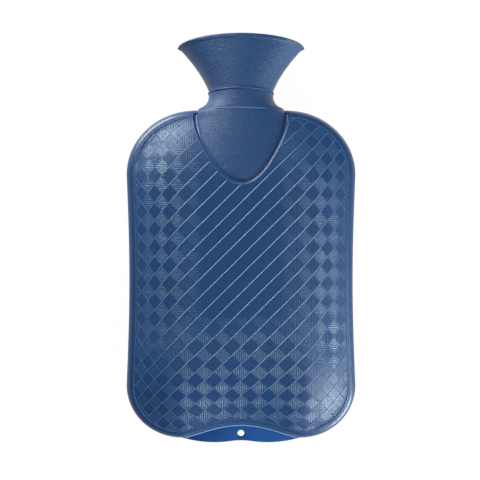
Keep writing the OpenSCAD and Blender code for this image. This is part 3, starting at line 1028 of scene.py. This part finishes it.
def addSeams(shell):
    # A fine round bead where the tab leaves the bag, on both of its faces
    line = tabLine(0)
    x, low = line[:, 0], line[:, 1]
    y = footEdge(x, 0) - tab["seamOut"]
    room = y - low > tab["seamRadius"] * tab["seamLeast"]
    line = np.stack([x, y], 1)[room & (np.abs(x) < footCx * tab["seamReach"])]
    seams = onBothFaces("seam", line, np.full(len(line), tab["thick"] / 2), tab["seamRadius"])
    combine(shell, seams, "UNION")


def keepLargest(piece):
    # Drops the few slivers that the cuts leave beside the pad
    with editing(piece.data) as bm:
        left, groups = set(bm.verts), []
        while left:
            group = [left.pop()]
            for vert in group:  # the group grows until all that edges join to it is in
                near = {end for edge in vert.link_edges for end in edge.verts} & left
                left -= near
                group.extend(near)
            groups.append(group)
        for group in sorted(groups, key=len)[:-1]:
            bmesh.ops.delete(bm, geom=group, context="VERTS")


# How far the marked areas reach past the lines that bound them
margin = {"tabFace": 0.0001, "tabLine": 0.0002, "shoulder": 0.0005, "midPlane": 0.004}


def markShell(shell):
    # Marks the parts of the shell that differ in colour or finish, and where a highlight is
    # painted: along the seam bead at the tab and along the crease below the neck
    mesh = shell.data
    x, y, z = readVectors(mesh.polygons, "center").T
    fromMiddle, below = np.abs(z - midZ), footEdge(x, 0) - y
    flat = fromMiddle < tab["thick"] / 2 + margin["tabFace"]
    onTab = flat & (y < footEdge(x, 0) + margin["tabLine"]) & (y < footCy)
    line = collarEdge(neck["groove"] / 2)
    away = np.min(np.hypot(x[:, None] - line[:, 0], y[:, None] - line[:, 1]), axis=1)
    near = (away < channel["halfWidth"]) & (y < shoulderY + margin["shoulder"])
    collarY = collarTipY + neck["collarLength"] * np.linspace(0, 1, 40) ** 2
    wide = np.interp(y, collarY, [collarX(v) for v in collarY])
    onNeck = (y > shoulderY) | ((y > collarTipY) & (np.abs(x) < wide))
    # The seam mark paints a highlight on the bead where the tab leaves the bag
    areas = {"onTab": onTab, "onSeam": ~flat & (below > 0) & (y < footCy),
             "inChannel": near & (fromMiddle > margin["midPlane"]),
             "onNeck": onNeck, "polished": ~onNeck & ~onTab}
    for label, area in areas.items():
        mark(mesh, label, area, "FACE")
    x, y, z = readVectors(mesh.vertices, "co").T
    # A highlight is painted along the crease below the neck
    creaseHighlight = 1 - np.abs(y - shoulderY + neck["creaseDown"]) / neck["creaseHalf"]
    mark(mesh, "ridge", np.clip(creaseHighlight, 0, 1) * creaseInside(x))


skin = bpy.data.materials.new("moulded navy plastic")
beads = beadTree(skin)
cutChannel(shell)
addSeams(shell)
smooth(shell, bag["sharpFrom"])
markShell(shell)
padEdge = padPolygon()
upright = makeCell("uprightDiamond", True)
across = makeCell("acrossDiamond", False)
padFront = makePad("padFront", quiltTree(upright, across, skin), padEdge)
padBack = addObject("padBack", padFront.data.copy())
turnOver(padBack)
for piece in (padFront, padBack):
    smooth(piece, pad["sharpFrom"])
for piece in (upright, across):
    bpy.data.objects.remove(piece)
padTriangles = sum(len(p.vertices) - 2 for p in padFront.data.polygons)
print("stage 3: pads,", padTriangles, "triangles each")

useMaterial([shell, padFront, padBack], skin)
for piece in (shell, padFront, padBack):
    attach(piece, "bottle")
    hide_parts("bottle_body")


# Threads: one rounded ridge on the stopper, one in the insert, half a pitch apart
thread = {
    "pitch": 0.005,
    "round": 0.0011,
    "perTurn": 48,
    "runOut": 0.12,
    "stopperRadius": 0.012,
    "stopperLow": 0.0130,
    "stopperTurns": 2.2,
    "insertRadius": 0.0136,
    "insertLow": 0.0155,
    "insertTurns": 2.6,
    "sharpFrom": 50,
}


def makeThread(piece, sink):
    # Right-handed about +Y; at both ends the ridge sinks into its wall
    turns = thread[piece + "Turns"]
    t = np.linspace(0, turns, int(turns * thread["perTurn"]) + 1)
    deep = np.clip(1 - np.minimum(t, turns - t) / thread["runOut"], 0, 1)
    r = thread[piece + "Radius"] + sink * deep
    y = seatY - thread[piece + "Low"] + thread["pitch"] * t
    angle = 2 * np.pi * t
    points = np.stack([r * np.sin(angle), y, r * np.cos(angle)], 1)
    ridge = makeBead(piece + "Thread", points, False, thread["round"])
    smooth(ridge, thread["sharpFrom"])
    return ridge


stopperThread = makeThread("stopper", -thread["round"])
insertThread = makeThread("insert", thread["round"])
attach(stopperThread, "stopper")
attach(insertThread, "bottle")


# Materials

class Socket:
    # Wraps a shader socket, so that sums on values add Math nodes
    def __init__(self, tree, socket):
        self.tree, self.socket = tree, socket

    @classmethod
    def of(cls, tree, kind, sockets=None, output=0, **settings):
        # Any other node
        return cls(tree, treeNode(tree, kind, sockets, **settings).outputs[output])

    def math(self, operation, *others):
        values = dict(enumerate((self, *others)))
        return Socket.of(self.tree, "ShaderNodeMath", values, operation=operation)

    def __add__(self, other):
        return self.math("ADD", other)

    def __mul__(self, other):
        return self.math("MULTIPLY", other)

    def __sub__(self, other):
        return self.math("SUBTRACT", other)

    def __rsub__(self, other):
        return (self * -1).math("ADD", other)

    __radd__, __rmul__ = __add__, __mul__

    def clamp(self):
        return self.math("MAXIMUM", 0.0).math("MINIMUM", 1.0)


def mixed(share, low, high):
    sockets = {6: low, 7: high, 0: share}
    return Socket.of(share.tree, "ShaderNodeMix", sockets, 2, data_type="RGBA")


def noise(tree, scale, detail):
    place = Socket.of(tree, "ShaderNodeTexCoord", output=3)  # Object coordinates
    sockets = {"Vector": place, "Scale": scale, "Detail": detail}
    return Socket.of(tree, "ShaderNodeTexNoise", sockets)


def grained(height, depth):
    sockets = {"Height": height, "Distance": depth, "Strength": 0.5}
    return Socket.of(height.tree, "ShaderNodeBump", sockets)


def dress(material, sockets):
    tree = material.node_tree
    fill(tree, tree.nodes["Principled BSDF"], sockets)


def fromSrgb(r, g, b):
    return tuple(((c / 255 + 0.055) / 1.055) ** 2.4 for c in (r, g, b)) + (1.0,)


navy = {
    "deep": fromSrgb(13, 52, 96),
    "bright": fromSrgb(18, 62, 110),
    "tab": fromSrgb(22, 80, 146),
    "tabDeep": fromSrgb(16, 58, 120),
    "channel": fromSrgb(14, 56, 104),
    # painted sheen on the grooved tiles
    "pale": fromSrgb(40, 73, 113),
    # painted highlight on the ribs, the pad's border bead and the crease
    "ridge": fromSrgb(62, 102, 156),
    # painted highlight on the seam bead where the tab leaves the bag
    "seam": fromSrgb(112, 152, 200),
    "sheen": (0.79, 0.93, 1.0, 1.0),
    "reflection": 0.55,
    "coatRoughness": 0.14,
    "coat": 0.06,
    "polishedCoat": 0.3,
    "cloudScale": 22.0,
    "tabFrom": 0.4,
    "tabSlope": 4.0,
    "grainScale": 1250.0,
    "grain": 0.0006,
    "tabGrainLess": 0.8,
    "neckGrainMore": 1.1,
    "roughness": 0.26,
    "grainRough": 0.12,  # the lines below add to the roughness, or take from it
    "tabRough": 0.08,
    "channelRough": 0.3,
    "ridgeRough": 0.12,
    "neckRough": 0.08,
}


def paintSkin(material):
    material.use_nodes = True
    tree = material.node_tree
    cloud = noise(tree, navy["cloudScale"], 3.0)
    grain = noise(tree, navy["grainScale"], 2.0)
    names = ("onTab", "inChannel", "pale", "ridge", "onSeam", "onNeck", "polished")
    onTab, inChannel, pale, ridge, onSeam, onNeck, polished = (
        Socket.of(tree, "ShaderNodeAttribute", output=2, attribute_name=name) for name in names)
    # The flat tab at the foot is a clearer blue than the bag
    share = ((cloud - navy["tabFrom"]) * navy["tabSlope"]).clamp()
    tabTone = mixed(share, navy["tabDeep"], navy["tab"])
    tone = mixed(onTab, mixed(cloud, navy["deep"], navy["bright"]), tabTone)
    # The channel takes an even mid tone, and the other marks paint light: a sheen on the grooved
    # tiles, highlights on the ribs, the pad's border and the crease, and a highlight on the seam
    # bead at the tab
    places = {"channel": inChannel, "pale": pale, "ridge": ridge, "seam": onSeam}
    for colour, place in places.items():
        tone = mixed(place, tone, navy[colour])
    grainShare = 1.0 - onTab * navy["tabGrainLess"] + onNeck * navy["neckGrainMore"]
    rough = grain * navy["grainRough"] + navy["roughness"] - onTab * navy["tabRough"]
    rough = rough + inChannel * navy["channelRough"] + ridge * navy["ridgeRough"]
    dress(material, {
        "Specular IOR Level": navy["reflection"], "Specular Tint": navy["sheen"],
        "Coat Roughness": navy["coatRoughness"],
        "Base Color": tone, "Roughness": rough + onNeck * navy["neckRough"],
        "Normal": grained(grain * grainShare, navy["grain"]),
        "Coat Weight": polished * navy["polishedCoat"] + navy["coat"]})


paintSkin(skin)


# Colour, roughness and scale of the grain for the pieces inside the neck
plain = {
    "insert plastic": (fromSrgb(176, 180, 188), 0.40, 600.0),
    "stopper plastic": (fromSrgb(32, 56, 104), 0.31, 900.0),
    "washer rubber": (fromSrgb(40, 40, 43), 0.65, 1500.0),
}
plainGrain = {"depth": 0.0001, "shade": 0.82, "roughness": 0.1}


def plainMaterial(name):
    colour, roughness, grainScale = plain[name]
    material = bpy.data.materials.new(name)
    material.use_nodes = True
    grain = noise(material.node_tree, grainScale, 3.0)
    darker = tuple(c * plainGrain["shade"] for c in colour[:3]) + (1.0,)
    dress(material, {
        "Base Color": mixed(grain, darker, colour),
        "Roughness": grain * plainGrain["roughness"] + roughness,
        "Normal": grained(grain, plainGrain["depth"])})
    return material


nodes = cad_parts
useMaterial([nodes["thread_insert"], insertThread], plainMaterial("insert plastic"))
useMaterial([nodes["stopper"], stopperThread], plainMaterial("stopper plastic"))
useMaterial([nodes["stopper_washer"]], plainMaterial("washer rubber"))


# Floor and light

studio = {
    "floorSize": 6.0,
    "floorTone": 0.45,
    "floorRoughness": 0.8,
    "floorGlow": 0.9,  # share of plain white in what the camera sees of the floor
    "white": 1.07,
    "patchFrom": 0.09,  # the bright patch starts here along the bottle and is full 0.02 on
    "patchSlope": 50.0,
    "world": 0.235,
}
# Place, size and power of each lamp; all of them aim at the middle of the frame
lamps = {
    "upper left window": ((-0.49, 0.70, 0.85), (0.8, 0.8), 2.2),
    "upper left lamp": ((-0.66, 0.90, 0.34), (0.7, 0.62), 19.0),
    "lower right window": ((0.78, -0.56, 0.70), (1.0, 1.1), 9.5),
    "lower right lamp": ((0.79, -0.74, 0.25), (0.6, 0.45), 13.5),
}


def makeFloor():
    r = studio["floorSize"] / 2
    floor = makePiece("floor", [(-r, -r, 0), (r, -r, 0), (r, r, 0), (-r, r, 0)], [(0, 1, 2, 3)])
    material = bpy.data.materials.new("white floor")
    material.use_nodes = True
    tone = (studio["floorTone"],) * 3 + (1.0,)
    dress(material, {"Base Color": tone, "Roughness": studio["floorRoughness"]})
    # The camera sees the floor mostly as plain white, with a light shadow left in it
    tree = material.node_tree
    lit = Socket(tree, tree.nodes["Principled BSDF"].outputs[0])
    glow = {"Color": (1, 1, 1, 1), "Strength": studio["white"]}
    white = Socket.of(tree, "ShaderNodeEmission", glow)
    # A bright patch beside the neck shows only in the funnel's flanks
    place = Socket.of(tree, "ShaderNodeTexCoord", output=3)
    along = Socket.of(tree, "ShaderNodeSeparateXYZ", {0: place}, 1)
    patch = ((along - studio["patchFrom"]) * studio["patchSlope"]).clamp()
    mirrored = Socket.of(tree, "ShaderNodeLightPath", output="Is Glossy Ray") * patch
    seen = Socket.of(tree, "ShaderNodeLightPath", output="Is Camera Ray") + mirrored
    mix = {0: seen * studio["floorGlow"], 1: lit, 2: white}
    surface = Socket.of(tree, "ShaderNodeMixShader", mix)
    fill(tree, tree.nodes["Material Output"], {"Surface": surface})
    useMaterial([floor], material)


def makeLamp(name, place, size, power):
    data = bpy.data.lights.new(name, "AREA")
    data.shape = "RECTANGLE"
    data.size, data.size_y = size
    data.energy = power
    lamp = addObject(name, data)
    lamp.location = place
    lamp.rotation_euler = (-Vector(place)).to_track_quat("-Z", "Y").to_euler()


def makeWorld():
    # The camera sees a white sky, and the object is lit by a much dimmer one
    world = bpy.data.worlds.new("studio")
    bpy.context.scene.world = world
    world.use_nodes = True
    tree = world.node_tree
    seen = Socket.of(tree, "ShaderNodeLightPath", output="Is Camera Ray")
    strength = seen * (1.0 - studio["world"]) + studio["world"]
    fill(tree, tree.nodes["Background"], {"Color": (1, 1, 1, 1), "Strength": strength})


makeFloor()
makeWorld()
for name, (place, size, power) in lamps.items():
    makeLamp(name, place, size, power)
bpy.context.scene.view_settings.view_transform = "Standard"
print("stage 4: materials, floor and light")
